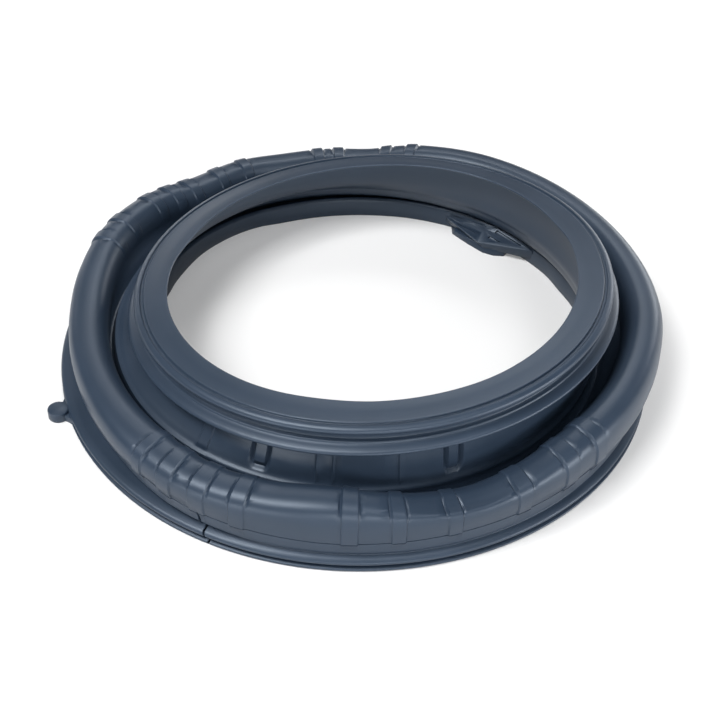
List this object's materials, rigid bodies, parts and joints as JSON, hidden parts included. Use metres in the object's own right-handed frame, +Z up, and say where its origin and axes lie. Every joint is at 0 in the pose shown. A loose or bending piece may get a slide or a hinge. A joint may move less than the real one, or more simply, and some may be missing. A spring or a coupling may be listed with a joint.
{
  "type": "door seal",
  "caption": "Round rubber door boot with a wide tub flange, a folded bellows and an offset door ring with a panel groove and a flat sealing lip.",
  "frame": {"origin": "on the floor, at the middle of the part's bounding box, 4 mm to the right of the tub flange's own centre", "axes": "+Z up along the tub flange's axis, from the tub side to the door side; the part is seen from -Y; +X is the side that the door ring is pushed towards"},
  "size_m": [0.4164, 0.4086, 0.0843],
  "materials": {
    "rubber": "satin moulded rubber, dark blue-grey"
  },
  "bodies": {
    "root": {"door_seal": "rubber"}
  },
  "joints": []
}
